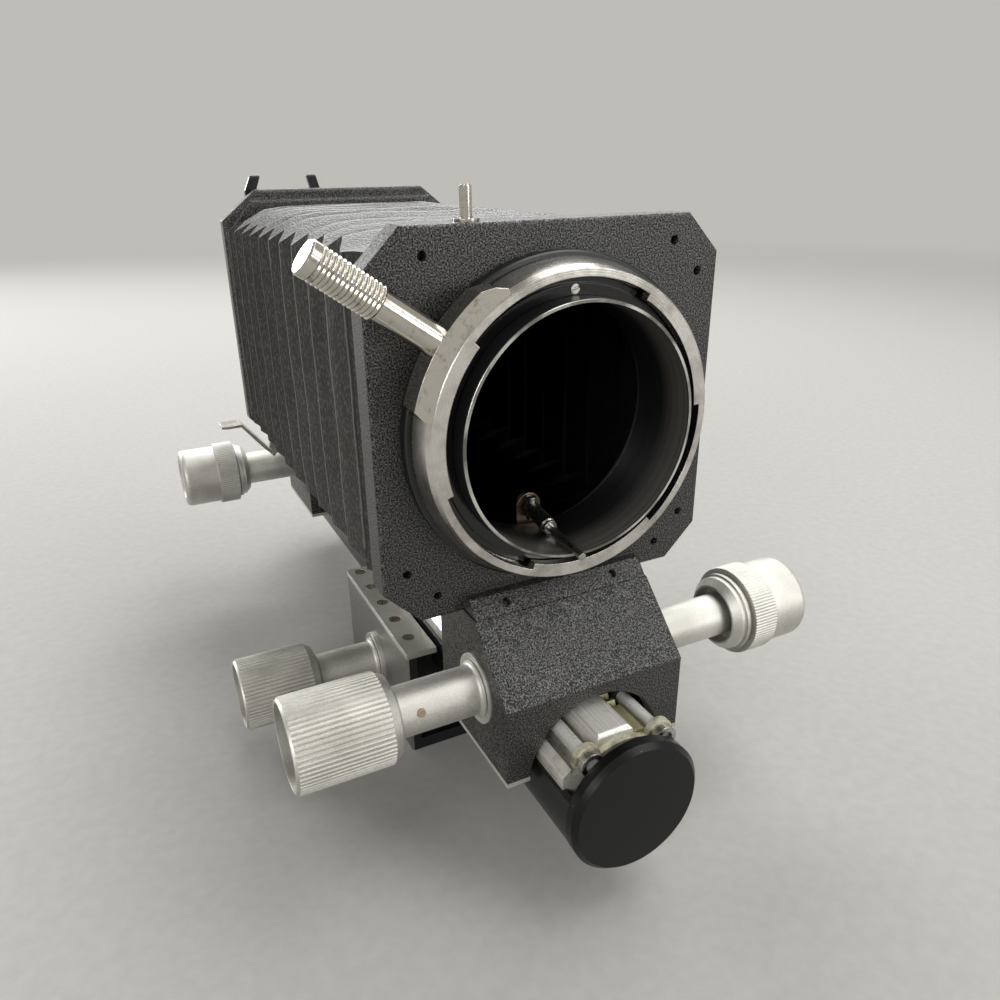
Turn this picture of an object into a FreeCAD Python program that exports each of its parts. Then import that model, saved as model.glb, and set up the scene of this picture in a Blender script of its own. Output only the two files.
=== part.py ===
"""Macro bellows unit: two standards on one round rail, a pleated bellows between them, a tripod carriage.

Everything is drawn in millimetres with the origin on the optical axis, at the camera plate's front face:
X to the right, Y from the camera towards the lens, Z up. save() then moves each piece into the part's own
frame, whose origin is the mouth of the tripod thread, in the middle of the carriage's bottom face.
"""
import FreeCAD
import Part
import math
import os

# ---------------------------------------------------------------- driving dimensions, mm
PLATE = 72.0                # side of both standards' plates
PLATE_CORNER = 7.2          # corner cut of the plates
PLATE_THICK = 6.0
PLATE_HOLE = 0.85           # radius of the plate's screw holes
HALF = PLATE / 2            # the plates' lower edge stands this far under the optical axis

LENS_Y = 126.8              # near face of the lens plate
CAMERA_SHAFT_Y = -5.0       # drive shaft of the camera standard
LENS_SHAFT_Y = 144.6        # drive shaft of the lens standard
SHAFT_Z = -50.9             # both standards' shafts

HOUSING_X = 20.0            # half width of the standards' housings
HOUSING_FRONT = 13.0        # from the shaft to the housing's front
HOUSING_REAR = 17.5         # from the shaft to the housing's back
HOUSING_Z = -65.0           # underside of the casting
SLOPE_Z = -48.6             # foot of the sloping front
COVER = 1.0                 # bright cover plates under the housing
ARCH_R = 15.0               # arch over the rail
ARCH_Z = -66.0

RAIL_Z = -67.3              # axis of the rail tube
RAIL_R = 14.0
TUBE_WALL = 1.4
TUBE_TOP = -62.9            # the tube is open above this height
TUBE_FLAT = -75.0           # flat on the tube's underside
TUBE_FLOOR = -73.4
RAIL_FRONT = -29.8          # ends of the tube
RAIL_REAR = 165.2
CAP = 3.0                   # end caps
CAP_R = 14.2
BED_INSET = 3.8             # from the tube's end to the bed's end
BED_R = RAIL_R - TUBE_WALL
BED_TOP = -53.7             # raised middle of the bed
BED_GROOVE = -60.2          # floor of the rods' grooves
BED_LIP = 1.1               # rounding of the bed's front end

ROD_R = 1.4                 # guide rods
ROD_X = 8.2
ROD_Z = -56.5
RETAINER = 1.4              # plates that hold the rods at the bed's ends
RETAINER_EAR = 2.9
CUP = 1.8                   # cups on the rods' ends
CUP_R = 2.4
CROSS_PIN_R = 0.85          # pin through the camera standard's drive knob
GRUB_R = 0.7                # grub screws of the end caps
RUNNING = 0.04              # radial clearance of a running fit

MODULE = 0.8                # racks and pinions
PRESSURE = math.radians(25)
RACK_ADDENDUM = 0.5
PINION_ADDENDUM = 0.7
TOOTH_GAP = 0.15
BACKLASH = 0.12
DRIVE_TEETH = 12            # pinions of the two standards
CARRIAGE_TEETH = 8          # pinion of the carriage
RACK_X = (3.0, 5.4)         # the standards' rack
RACK_START = -17.0          # first tooth of the standards' rack

SHAFT_R = 3.0               # drive shafts in their bushes
SPINDLE_R = 2.0             # drive shafts inside
BUSH_R = 4.2
NECK_R = 5.0                # necks of the ribbed drive knobs
FLARE = 0.8                 # radius of the flare at the foot of those necks
KNOB_R = 9.0
KNOB_RIBS = 60
RIB = 0.28
LOCK_BAND_R = 10.0
LOCK_BARREL_R = 9.3
LOCK_RIBS = 90
DRIVE_KNOB = (18.2, 19.8)           # from the wall to the head, and the head's length
CARRIAGE_DRIVE_KNOB = (17.3, 19.3)
LOCK_KNOB = (19.5, 19.9, 4.75)      # the same for the stepped lock knobs, and the neck's radius
LENS_LOCK_KNOB = (16.8, 20.9, 5.3)

CARRIAGE_Y = 54.6           # middle of the carriage, and its shaft
CARRIAGE_HALF = 24.5        # half its length
CARRIAGE_X = 22.3
CARRIAGE_WALL = 2.5
CARRIAGE_BOTTOM = -92.0
CARRIAGE_FLOOR = 3.0
CARRIAGE_TOP = -63.5
TOP_PLATE = 1.4
TOP_PLATE_X = 14.6          # inner edge of the top plates
GUIDE_INSET = 6.0           # the guide stands back from the carriage's front
CARRIAGE_SHAFT_Z = -78.5
TRIPOD_R = 3.175            # 1/4 inch tripod thread

BELLOWS_FRAME = 1.5
BELLOWS_FRAME_HALF = 31.0
BELLOWS_END = 29.8          # half side of the bellows in its two frames
PLEATS = 11
SIDE_RIDGE = (34.0, 36.0)   # ridges of the side walls, from the axis, at the camera's and the lens's end
SIDE_VALLEY = 31.5
TOP_RIDGE = 33.0            # top and bottom walls
TOP_VALLEY = (31.5, 28.3)
PLEAT_SPREAD = 0.24         # pleats are wider at the camera end by this share
PLEAT_SHIFT = 0.4           # the first fold is longer by this share of a wall
SAG = 1.8                   # how far the bellows' underside hangs down, at most
PLEAT_SPLIT = 8             # walls in the camera's part of the bellows, of 2 * PLEATS
SKIN = 0.5

BASE_R = 31.0               # mount base, which turns in the camera plate
BASE_THICK = 2.5
HUB_R = 27.5                # bore of the camera plate
THROAT_R = 23.85
THROAT_SEAT_R = 23.6        # the throat's thinner part, which sits in the base
THROAT_BORE = 23.2
THROAT_FRONT = -10.5
REGISTER_Y = -6.2           # face that a camera's mount lies on
REGISTER = (23.9, 25.9)     # inner and outer radius of that face
FLANGE_SCREW_R = 24.9       # where the screws of the seat flange stand
FLANGE_HEAD_R = 0.9
FLANGE_HEAD_Y = -5.8        # under their heads, which lie below the face
BREECH_R = 30.0             # breech ring
BREECH_FRONT = -8.5
CLAW_R = 26.0
RECESS_R = 27.2
CLAW_ARCS = ((3, 59), (138, 197), (250, 309))
HANDLE_ANGLE = 144.3
LUG_R = 32.2                # raised lug at the handle's root

LATCH_X = -16.0             # latch pin in the camera plate's top edge
LATCH_Y = 3.0


# ---------------------------------------------------------------- shapes
def vec(x, y, z):
    return FreeCAD.Vector(x, y, z)


def block(x0, x1, y0, y1, z0, z1):
    return Part.makeBox(x1 - x0, y1 - y0, z1 - z0, vec(x0, y0, z0))


def rod_x(r, x0, x1, y, z):
    return Part.makeCylinder(r, x1 - x0, vec(x0, y, z), vec(1, 0, 0))


def rod_y(r, y0, y1, x=0.0, z=0.0):
    return Part.makeCylinder(r, y1 - y0, vec(x, y0, z), vec(0, 1, 0))


def rod_z(r, z0, z1, x, y):
    return Part.makeCylinder(r, z1 - z0, vec(x, y, z0), vec(0, 0, 1))


def face(points):
    return Part.Face(Part.makePolygon(points + points[:1]))


def prism_x(outline, x0, x1):
    """A prism along X; the outline is (y, z)."""
    return face([vec(x0, y, z) for y, z in outline]).extrude(vec(x1 - x0, 0, 0))


def prism_y(outline, y0, y1):
    """A prism along Y; the outline is (x, z)."""
    return face([vec(x, y0, z) for x, z in outline]).extrude(vec(0, y1 - y0, 0))


def turned_y(outline, x=0.0, z=0.0):
    """A turned piece on an axis along Y; the outline is (y, radius)."""
    return face([vec(x + r, y, z) for y, r in outline]).revolve(vec(x, 0, z), vec(0, 1, 0), 360)


def turned_x(outline, y, z):
    """A turned piece on an axis along X; the outline is (x, radius)."""
    return face([vec(x, y + r, z) for x, r in outline]).revolve(vec(0, y, z), vec(1, 0, 0), 360)


def ring_y(outer, inner, y0, y1):
    return rod_y(outer, y0, y1).cut(rod_y(inner, y0 - 1, y1 + 1))


def sector(inner, outer, start, end, y0, y1):
    """Part of a ring about the optical axis, between two angles counted from +X towards +Z."""
    steps = max(2, int((end - start) / 15) + 1)
    reach = outer * 1.5
    turns = [math.radians(start + (end - start) * i / steps) for i in range(steps + 1)]
    wedge = [(0.0, 0.0)] + [(reach * math.cos(a), reach * math.sin(a)) for a in turns]
    return ring_y(outer, inner, y0, y1).common(prism_y(wedge, y0, y1))


def polar(r, degrees):
    a = math.radians(degrees)
    return r * math.cos(a), r * math.sin(a)


def mirrored(right_side, y0, y1):
    """A prism along Y with the same outline on both sides of x = 0; right_side runs upwards."""
    return prism_y(right_side + [(-x, z) for x, z in reversed(right_side)], y0, y1)


def octagon(half, corner, y0, y1):
    c = half - corner
    return mirrored([(c, -half), (half, -c), (half, c), (c, half)], y0, y1)


def ribbed(r, ribs, depth, x0, x1, y, z):
    """A barrel along X with straight ribs."""
    outline = []
    for i in range(ribs):
        a = 2 * math.pi * i / ribs
        b = a + math.pi / ribs
        outline.append((y + r * math.cos(a), z + r * math.sin(a)))
        outline.append((y + (r - depth) * math.cos(b), z + (r - depth) * math.sin(b)))
    return prism_x(outline, x0, x1)


def fuse(pieces):
    return pieces[0].multiFuse(pieces[1:]).removeSplitter()


def cut(shape, tools):
    for tool in tools:
        shape = shape.cut(tool)
    return shape


def about_z(shape, y):
    """Turned half round about the vertical through (0, y)."""
    turned = shape.copy()
    turned.rotate(vec(0, y, 0), vec(0, 0, 1), 180)
    return turned


def save(node, *solids):
    """Writes one node, moved from the optical axis to the part's own frame."""
    shape = solids[0] if len(solids) == 1 else Part.makeCompound(list(solids))
    placed = shape.copy()
    placed.translate(vec(0, -CARRIAGE_Y, -CARRIAGE_BOTTOM))
    placed.exportStep(f"parts/{node}.step")


# ---------------------------------------------------------------- racks and pinions
PITCH = math.pi * MODULE
DRIVE_R = MODULE * DRIVE_TEETH / 2
CARRIAGE_R = MODULE * CARRIAGE_TEETH / 2


def involute(angle):
    return math.tan(angle) - angle


def pinion(teeth, x0, x1, y, z, first_tooth):
    """Involute pinion along X. first_tooth is the angle of one tooth, from +Y towards +Z, in radians."""
    pitch_r = MODULE * teeth / 2
    base_r = pitch_r * math.cos(PRESSURE)
    tip_r = pitch_r + PINION_ADDENDUM
    root_r = pitch_r - RACK_ADDENDUM - TOOTH_GAP
    half_tooth = (PITCH / 2 - BACKLASH / 2) / (2 * pitch_r)
    radii = [root_r] + [base_r + (tip_r - base_r) * i / 5 for i in range(6)]
    if root_r >= base_r:
        radii = [root_r + (tip_r - root_r) * i / 5 for i in range(6)]
    widths = []
    for r in radii:
        slant = involute(math.acos(min(1.0, base_r / r))) if r > base_r else 0.0
        widths.append(half_tooth + involute(PRESSURE) - slant)
    outline = []
    for i in range(teeth):
        middle = first_tooth + 2 * math.pi * i / teeth
        for r, w in zip(radii, widths):
            outline.append((y + r * math.cos(middle - w), z + r * math.sin(middle - w)))
        for r, w in zip(reversed(radii), reversed(widths)):
            outline.append((y + r * math.cos(middle + w), z + r * math.sin(middle + w)))
    return prism_x(outline, x0, x1)


def rack(x0, x1, start, end, pitch_z, back_z, up, blank_to=None):
    """Straight rack along Y with a gap centred on y = start. Its teeth point up or down from back_z."""
    tip = pitch_z + up * RACK_ADDENDUM
    root = pitch_z - up * (PINION_ADDENDUM + TOOTH_GAP)
    lean = math.tan(PRESSURE)
    half = PITCH / 4 - BACKLASH / 4
    at_tip = half - RACK_ADDENDUM * lean
    at_root = half + (PINION_ADDENDUM + TOOTH_GAP) * lean
    low = start if blank_to is None else blank_to
    outline = [(low, back_z), (low, tip if blank_to is not None else root), (start, root)]
    if blank_to is not None:
        outline.insert(2, (start - PITCH / 2 + at_tip, tip))
        outline[3] = (start - PITCH / 2 + at_root, root)
    for i in range(int((end - start) / PITCH)):
        middle = start + PITCH * (i + 0.5)
        outline.append((middle - at_root, root))
        outline.append((middle - at_tip, tip))
        outline.append((middle + at_tip, tip))
        outline.append((middle + at_root, root))
    outline += [(end, root), (end, back_z)]
    return prism_x(outline, x0, x1)


def meshed_tooth(shaft_y, rack_start, pitch_r, towards_rack):
    """Angle of a tooth that stands in the rack's gap when the pinion has rolled to shaft_y."""
    rolled = (shaft_y - rack_start) / pitch_r
    return towards_rack - rolled if towards_rack < 0 else towards_rack + rolled


# ---------------------------------------------------------------- knobs, shafts and bushes
def drive_shaft(wall, end, y, z, x_pinion, teeth, first_tooth):
    """Shaft that comes out of the left wall at x = -wall, with its pinion; its inner end is at x = end."""
    shaft = fuse([
        rod_x(SHAFT_R, -wall - 16.0, -wall + 2.4, y, z),
        rod_x(SPINDLE_R, -wall + 2.4, end, y, z),
        pinion(teeth, x_pinion[0], x_pinion[1], y, z, first_tooth),
    ])
    return shaft


def drive_knob(wall, collar, y, z, size=DRIVE_KNOB):
    """Ribbed cup with a long flared neck, on a shaft that comes out of the left wall."""
    reach, length = size
    neck_start = -wall - collar - 0.12
    head = -wall - reach
    rim = head - length
    floor = head - 3.6
    inner = KNOB_R - 1.0
    foot = neck_start - 0.25 - FLARE
    outline = [(neck_start, 0), (neck_start, NECK_R + FLARE)]
    for degrees in range(0, 91, 15):
        a = math.radians(degrees)
        outline.append((foot + FLARE * math.cos(a), NECK_R + FLARE * (1 - math.sin(a))))
    outline += [
        (head + 1.0, NECK_R), (head, 6.6), (head, 7.8), (head - 1.7, KNOB_R - RIB),
        (rim + 0.5, KNOB_R - RIB), (rim, KNOB_R - 0.5), (rim, inner), (floor, inner), (floor, 0),
    ]
    body = turned_x(outline, y, z)
    ribs = ribbed(KNOB_R, KNOB_RIBS, RIB + 0.3, rim + 0.5, head - 1.7, y, z)
    ribs = ribs.cut(rod_x(KNOB_R - RIB - 0.2, rim, head, y, z))
    knob = fuse([body, ribs])
    return knob.cut(rod_x(SHAFT_R, -wall - 16.0, neck_start + 1, y, z))


def lock_knob(wall, y, z, size=LOCK_KNOB):
    """Stepped knob with a long neck and a threaded stem, out of the right wall."""
    reach, length, neck_r = size
    head = wall + reach
    back = head + 3.5           # floor of the recess round the neck
    shoulder = head + 2.6       # step before the raised ring
    ring_end = head + 3.5
    band = head + 4.0           # knurled band
    barrel = head + 10.0        # smooth barrel
    end = head + length
    groove_r = 8.3
    core = LOCK_BARREL_R + 0.3
    round_r = 1.5
    outline = [
        (wall - 4.8, 0), (wall - 4.8, SHAFT_R), (wall + 0.1, SHAFT_R), (wall + 0.1, neck_r),
        (back, neck_r), (back, 6.4), (head, 6.4), (head, 6.8), (head + 1.5, groove_r),
        (shoulder, groove_r), (shoulder, 8.8), (ring_end, 8.8), (ring_end, groove_r),
        (band, groove_r), (band, core), (barrel, core), (barrel, LOCK_BARREL_R),
    ]
    for degrees in range(0, 91, 18):
        a = math.radians(degrees)
        rise, inset = round_r * (1 - math.sin(a)), round_r * (1 - math.cos(a))
        outline.append((end - rise, LOCK_BARREL_R - inset))
    outline += [(end, 6.5), (end - 0.6, 6.0), (end - 0.6, 0)]
    body = turned_x(outline, y, z)
    ribs = ribbed(LOCK_BAND_R, LOCK_RIBS, 0.2, band, barrel, y, z)
    ribs = ribs.cut(rod_x(core - 0.2, band - 1, barrel + 1, y, z))
    return fuse([body, ribs])


def bush(wall, depth, collar, collar_r, y, z):
    """Bush in the left wall, with a collar outside."""
    outline = [
        (-wall + depth, SHAFT_R + RUNNING), (-wall + depth, BUSH_R), (-wall, BUSH_R), (-wall, collar_r),
        (-wall - collar, collar_r), (-wall - collar, SHAFT_R + RUNNING),
    ]
    return turned_x(outline, y, z)


def lock_bush(wall, depth, y, z):
    """Plain threaded bush in the right wall, flush with it."""
    hole = rod_x(SHAFT_R + RUNNING, wall - depth - 1, wall + 1, y, z)
    return rod_x(BUSH_R, wall - depth, wall, y, z).cut(hole)


def slotted_screw(head_r, head_h, shank_r, length, slot=0.35):
    """Screw along +Z with its seat at z = 0 and its head below a slot."""
    screw = fuse([
        Part.makeCylinder(head_r, head_h, vec(0, 0, 0)),
        Part.makeCylinder(shank_r, length, vec(0, 0, -length)),
    ])
    return screw.cut(block(-head_r, head_r, -slot / 2, slot / 2, head_h * 0.45, head_h + 1))


def turned_to(shape, direction, place, spin=0.0):
    """Moves a piece drawn along +Z so that it points along direction at place."""
    moved = shape.copy()
    moved.rotate(vec(0, 0, 0), vec(0, 0, 1), spin)
    turn = FreeCAD.Rotation(vec(0, 0, 1), direction)
    moved.Placement = FreeCAD.Placement(place, turn).multiply(moved.Placement)
    return moved


# ---------------------------------------------------------------- rail
def rail():
    front, rear = RAIL_FRONT, RAIL_REAR
    bed_front, bed_rear = front + BED_INSET, rear - BED_INSET

    tube = rod_y(RAIL_R, front, rear, 0, RAIL_Z)
    tube = tube.common(block(-20, 20, front, rear, TUBE_FLAT, TUBE_TOP))
    hollow = rod_y(BED_R, front - 1, rear + 1, 0, RAIL_Z)
    hollow = hollow.common(block(-20, 20, front - 1, rear + 1, TUBE_FLOOR, 0))
    slot = block(-2.5, 2.5, bed_front + 4, bed_rear - 4, TUBE_FLAT - 1, TUBE_FLOOR + 1)
    tube = cut(tube, [hollow, slot])

    groove_in, groove_out = 5.8, 10.8
    outer_z, inner_z = -60.25, -58.7        # the bed's sloping shoulders
    top = [
        (BED_R, outer_z), (groove_out, inner_z), (groove_out, BED_GROOVE), (RACK_X[0], BED_GROOVE),
        (RACK_X[0] - 0.2, -54.4), (RACK_X[0] - 0.9, BED_TOP),
        (-groove_in + 1.2, BED_TOP), (-groove_in, -55.2), (-groove_in, BED_GROOVE),
        (-groove_out, BED_GROOVE), (-groove_out, inner_z), (-BED_R, outer_z),
    ]
    bed = prism_y([(BED_R, -80)] + top + [(-BED_R, -80)], bed_front, bed_rear)
    below = rod_y(BED_R, bed_front, bed_rear, 0, RAIL_Z)
    below = below.fuse(block(-BED_R, BED_R, bed_front, bed_rear, TUBE_TOP, -50))
    bed = bed.common(below)
    lip_y, lip_z = bed_front + BED_LIP, BED_TOP - BED_LIP
    lip = block(-groove_in - 0.1, RACK_X[0], bed_front - 1, lip_y, lip_z, BED_TOP + 1)
    lip = lip.cut(rod_x(BED_LIP, -groove_in - 1, RACK_X[0] + 1, lip_y, lip_z))
    bed = cut(bed, [block(-20, 20, bed_front - 1, bed_rear + 1, -90, TUBE_FLOOR), lip])

    rods = [rod_y(ROD_R, bed_front - 2.5, bed_rear + 2.5, side * ROD_X, ROD_Z) for side in (-1, 1)]
    strip_pitch, under_pitch = SHAFT_Z - DRIVE_R, CARRIAGE_SHAFT_Z + CARRIAGE_R
    strip = rack(*RACK_X, RACK_START, bed_rear, strip_pitch, BED_GROOVE, 1, blank_to=bed_front)
    under = rack(-2.5, 2.5, bed_front + 4.1, bed_rear - 4.1, under_pitch, TUBE_FLOOR, -1)

    retainers = []
    cups = []
    for end, out in ((bed_front, -1), (bed_rear, 1)):
        outside = end + out * RETAINER
        y0, y1 = sorted((end, outside))
        arc = rod_y(12.3, y0, y1, 0, RAIL_Z).cut(rod_y(9.4, y0, y1, 0, RAIL_Z))
        arc = arc.common(block(-ROD_X, ROD_X, y0, y1, -60.5, -50))
        ears = [rod_y(RETAINER_EAR, y0, y1, side * ROD_X, ROD_Z) for side in (-1, 1)]
        foot = block(-4.0, 4.0, y0, y1, -63.0, -56.0)
        rod_holes = [rod_y(ROD_R, y0 - 3, y1 + 3, side * ROD_X, ROD_Z) for side in (-1, 1)]
        plate = cut(fuse([arc, foot] + ears), rod_holes + [rod_y(0.8, y0 - 1, y1 + 1, 0, -60.0)])
        retainers.append(plate)
        c0, c1 = sorted((outside, outside + out * CUP))
        for side in (-1, 1):
            cups.append(cut(rod_y(CUP_R, c0, c1, side * ROD_X, ROD_Z), rod_holes))
        place = vec(0, outside, -60.0)
        cups.append(turned_to(slotted_screw(1.5, 0.7, 0.8, 5.0), vec(0, out, 0), place, 30))
        bed = bed.cut(turned_to(Part.makeCylinder(0.8, 5.0, vec(0, 0, -5.0)), vec(0, out, 0), place))

    caps = []
    grubs = []
    for end, out in ((front, -1), (rear, 1)):
        rim = 1.0
        disc = turned_y([
            (end, 0), (end, CAP_R), (end + out * (CAP - rim), CAP_R), (end + out * CAP, CAP_R - rim),
            (end + out * CAP, 0),
        ], 0, RAIL_Z)
        y0, y1 = sorted((end, end - out * (BED_INSET - RETAINER - 0.1)))
        spigot = rod_y(BED_R, y0, y1, 0, RAIL_Z).common(block(-20, 20, y0, y1, TUBE_FLOOR, -63.4))
        grub_y = end - out * 1.2
        hole = rod_z(GRUB_R, TUBE_FLAT - 1, TUBE_FLOOR + 3, 0, grub_y)
        tube = tube.cut(hole)
        caps.append(fuse([disc, spigot]).cut(hole))
        grubs.append(rod_z(GRUB_R, TUBE_FLAT + 0.2, TUBE_FLOOR + 3, 0, grub_y))

    save("rail_tube", tube)
    save("rail_bed", bed)
    save("guide_rods", *rods)
    save("standard_rack", strip)
    save("carriage_rack", under)
    save("rod_retainers", *retainers)
    save("rod_cups_and_screws", *cups)
    save("front_cap", caps[0])
    save("rear_cap", caps[1])
    save("cap_grub_screws", *grubs)


# ---------------------------------------------------------------- carriage
def carriage():
    y, z = CARRIAGE_Y, CARRIAGE_SHAFT_Z
    y0, y1 = y - CARRIAGE_HALF, y + CARRIAGE_HALF
    inside = CARRIAGE_X - CARRIAGE_WALL
    floor = CARRIAGE_BOTTOM + CARRIAGE_FLOOR
    ceiling = CARRIAGE_TOP - TOP_PLATE
    bush_top = floor + 3.5
    guide_y = (y0 + GUIDE_INSET, y1 - 1.0)

    head_r = 1.4
    sunk = 0.6                  # the screws' heads lie this deep in the top plates
    screws = []
    holes = []
    pockets = []
    for side in (-1, 1):
        for i in range(5):
            place = vec(side * 19.0, y0 + 7.4 + 9.75 * i, CARRIAGE_TOP - sunk)
            slot_turn = 40 * i + 20 * side
            screws.append(turned_to(slotted_screw(head_r, 0.5, 0.8, 4.3), vec(0, 0, 1), place, slot_turn))
            holes.append(rod_z(0.8, CARRIAGE_TOP - 5.0, CARRIAGE_TOP + 1, place.x, place.y))
            pockets.append(rod_z(head_r + 0.15, CARRIAGE_TOP - sunk, CARRIAGE_TOP + 1, place.x, place.y))

    body = block(-CARRIAGE_X, CARRIAGE_X, y0, y1, CARRIAGE_BOTTOM, ceiling)
    body = cut(body, [
        block(-inside, inside, y0 - 1, y1 + 1, floor, ceiling + 1),
        rod_x(BUSH_R, -CARRIAGE_X - 1, CARRIAGE_X + 1, y, z),
        rod_z(6.0, CARRIAGE_BOTTOM - 1, floor + 1, 0, y),
    ])
    body = body.makeChamfer(0.6, [e for e in body.Edges if vertical_corner(e, y0, y1)])

    guide = block(-inside, inside, guide_y[0], guide_y[1], floor, ceiling)
    passage = rod_y(RAIL_R + 0.06, y0, y1, 0, RAIL_Z)
    passage = passage.common(block(-20, 20, y0, y1, TUBE_FLAT - 0.06, ceiling + 5))
    guide = cut(guide, [
        passage,
        block(-2.8, 2.8, y0, y1, TUBE_FLAT - 1.4, TUBE_FLAT),
        rod_x(SPINDLE_R + 0.4, -inside - 1, 11.0, y, z),
        rod_x(SPINDLE_R + RUNNING, 10.0, 15.0, y, z),
        rod_x(SHAFT_R + 0.2, 14.6, inside + 1, y, z),
        rod_x(CARRIAGE_R + PINION_ADDENDUM + 0.4, -2.8, 2.8, y, z),
        rod_z(6.0, floor - 1, bush_top, 0, y),
    ] + holes)

    plates = []
    for side in (-1, 1):
        x0, x1 = sorted((side * TOP_PLATE_X, side * CARRIAGE_X))
        plates.append(cut(block(x0, x1, y0, y1, ceiling, CARRIAGE_TOP), holes + pockets))

    tripod = rod_z(6.0, CARRIAGE_BOTTOM, bush_top, 0, y)
    tripod = tripod.cut(rod_z(TRIPOD_R, CARRIAGE_BOTTOM - 1, bush_top - 1.0, 0, y))
    bushes = [bush(CARRIAGE_X, CARRIAGE_WALL, 1.1, 7.08, y, z), lock_bush(CARRIAGE_X, CARRIAGE_WALL, y, z)]
    gear_x = (-2.4, 2.4)

    tooth = meshed_tooth(y, RAIL_FRONT + BED_INSET + 4.1, CARRIAGE_R, math.pi / 2)
    save("carriage_body", body)
    save("carriage_guide", guide)
    save("carriage_top_plates", *plates)
    save("carriage_screws", *screws)
    save("tripod_bush", tripod)
    save("carriage_bushes", *bushes)
    save("carriage_drive_shaft", drive_shaft(CARRIAGE_X, 14.4, y, z, gear_x, CARRIAGE_TEETH, tooth))
    save("carriage_focus_knob", drive_knob(CARRIAGE_X, 1.1, y, z, CARRIAGE_DRIVE_KNOB))
    save("carriage_lock_knob", lock_knob(CARRIAGE_X, y, z))


def vertical_corner(edge, y0, y1):
    """The carriage's four outer upright edges."""
    ends = [v.Point for v in edge.Vertexes]
    if len(ends) != 2 or abs(ends[0].z - ends[1].z) < 5:
        return False
    on_side = all(abs(abs(p.x) - CARRIAGE_X) < 0.01 for p in ends)
    return on_side and all(min(abs(p.y - y0), abs(p.y - y1)) < 0.01 for p in ends)


# ---------------------------------------------------------------- standards
def running_gear(name, shaft_y, reverse, lock_size):
    """Housing, covers, runner, shaft, bushes and knobs. They are drawn for a front that faces -Y."""
    front, rear = shaft_y - HOUSING_FRONT, shaft_y + HOUSING_REAR
    rise = (-HALF - SLOPE_Z) / HOUSING_FRONT
    wall = 3.0

    def slope(y, drop):
        return min(-HALF, -HALF + (y - shaft_y) * rise) - drop

    housing = prism_x([
        (front, HOUSING_Z), (front, SLOPE_Z), (shaft_y, -HALF), (rear, -HALF), (rear, HOUSING_Z),
    ], -HOUSING_X, HOUSING_X)
    arch = rod_y(ARCH_R, front - 1, rear + 1, 0, ARCH_Z)
    inner = HOUSING_X - wall
    y0, y1 = front + 3.5, rear - wall
    roof = -HALF - 9.0
    roof_y = shaft_y - 5.0
    ceiling = [(y0, slope(y0, 4.3)), (roof_y, roof), (y1, roof)]
    pocket = [(y0, HOUSING_Z + wall)] + ceiling + [(y1, HOUSING_Z + wall)]
    housing = cut(housing, [
        arch,
        prism_x(pocket, -inner, inner),
        rod_x(BUSH_R, -HOUSING_X - 1, HOUSING_X + 1, shaft_y, SHAFT_Z),
    ])

    covers = []
    for side in (-1, 1):
        x0, x1 = sorted((side * ARCH_R, side * HOUSING_X))
        covers.append(block(x0, x1, front, rear, HOUSING_Z - COVER, HOUSING_Z))

    pinion_x = RACK_X if not reverse else (-RACK_X[1], -RACK_X[0])
    parts = [prism_x([(y0, -53.0)] + ceiling + [(y1, -53.0)], -inner, inner)]
    for side in (-1, 1):
        x0, x1 = sorted((side * 11.2, side * inner))
        parts.append(block(x0, x1, y0, y1, -56.5, -52.0))
        parts.append(rod_y(2.2, y0, y1, side * ROD_X, ROD_Z))
        parts.append(block(side * ROD_X - 1.4, side * ROD_X + 1.4, y0, y1, ROD_Z, -52.5))
    runner = cut(fuse(parts), [
        rod_y(ROD_R + RUNNING, y0 - 1, y1 + 1, -ROD_X, ROD_Z),
        rod_y(ROD_R + RUNNING, y0 - 1, y1 + 1, ROD_X, ROD_Z),
        rod_x(SHAFT_R + 0.3, -inner - 1, -12.0, shaft_y, SHAFT_Z),
        rod_x(SPINDLE_R + 0.5, -12.5, 11.2, shaft_y, SHAFT_Z),
        rod_x(SPINDLE_R + RUNNING, 11.0, 14.8, shaft_y, SHAFT_Z),
        rod_x(SHAFT_R + 0.2, 14.6, inner + 1, shaft_y, SHAFT_Z),
        rod_x(DRIVE_R + PINION_ADDENDUM + 0.5, pinion_x[0] - 0.3, pinion_x[1] + 0.3, shaft_y, SHAFT_Z),
    ])

    tooth = meshed_tooth(shaft_y, RACK_START, DRIVE_R, -math.pi / 2)
    if reverse:
        tooth = math.pi - tooth
    gear_x = (pinion_x[0] + 0.05, pinion_x[1] - 0.05)
    shaft = drive_shaft(HOUSING_X, 14.4, shaft_y, SHAFT_Z, gear_x, DRIVE_TEETH, tooth)
    knob = drive_knob(HOUSING_X, 0.5, shaft_y, SHAFT_Z)
    lock = lock_knob(HOUSING_X, shaft_y, SHAFT_Z, lock_size)
    bushes = [
        bush(HOUSING_X, wall, 0.5, 7.1, shaft_y, SHAFT_Z),
        lock_bush(HOUSING_X, wall, shaft_y, SHAFT_Z),
    ]

    pieces = {
        "housing": housing, "runner": runner, "drive_shaft": shaft, "focus_knob": knob, "lock_knob": lock,
    }
    groups = {"housing_covers": covers, "bushes": bushes}
    if reverse:
        pieces = {k: about_z(v, shaft_y) for k, v in pieces.items()}
        groups = {k: [about_z(s, shaft_y) for s in v] for k, v in groups.items()}
    for k, v in groups.items():
        save(f"{name}_{k}", *v)
    return pieces


def eased(shape, radius, pick):
    """Rounds the edges that pick() names."""
    return shape.makeFillet(radius, [e for e in shape.Edges if pick(e)])


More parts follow.
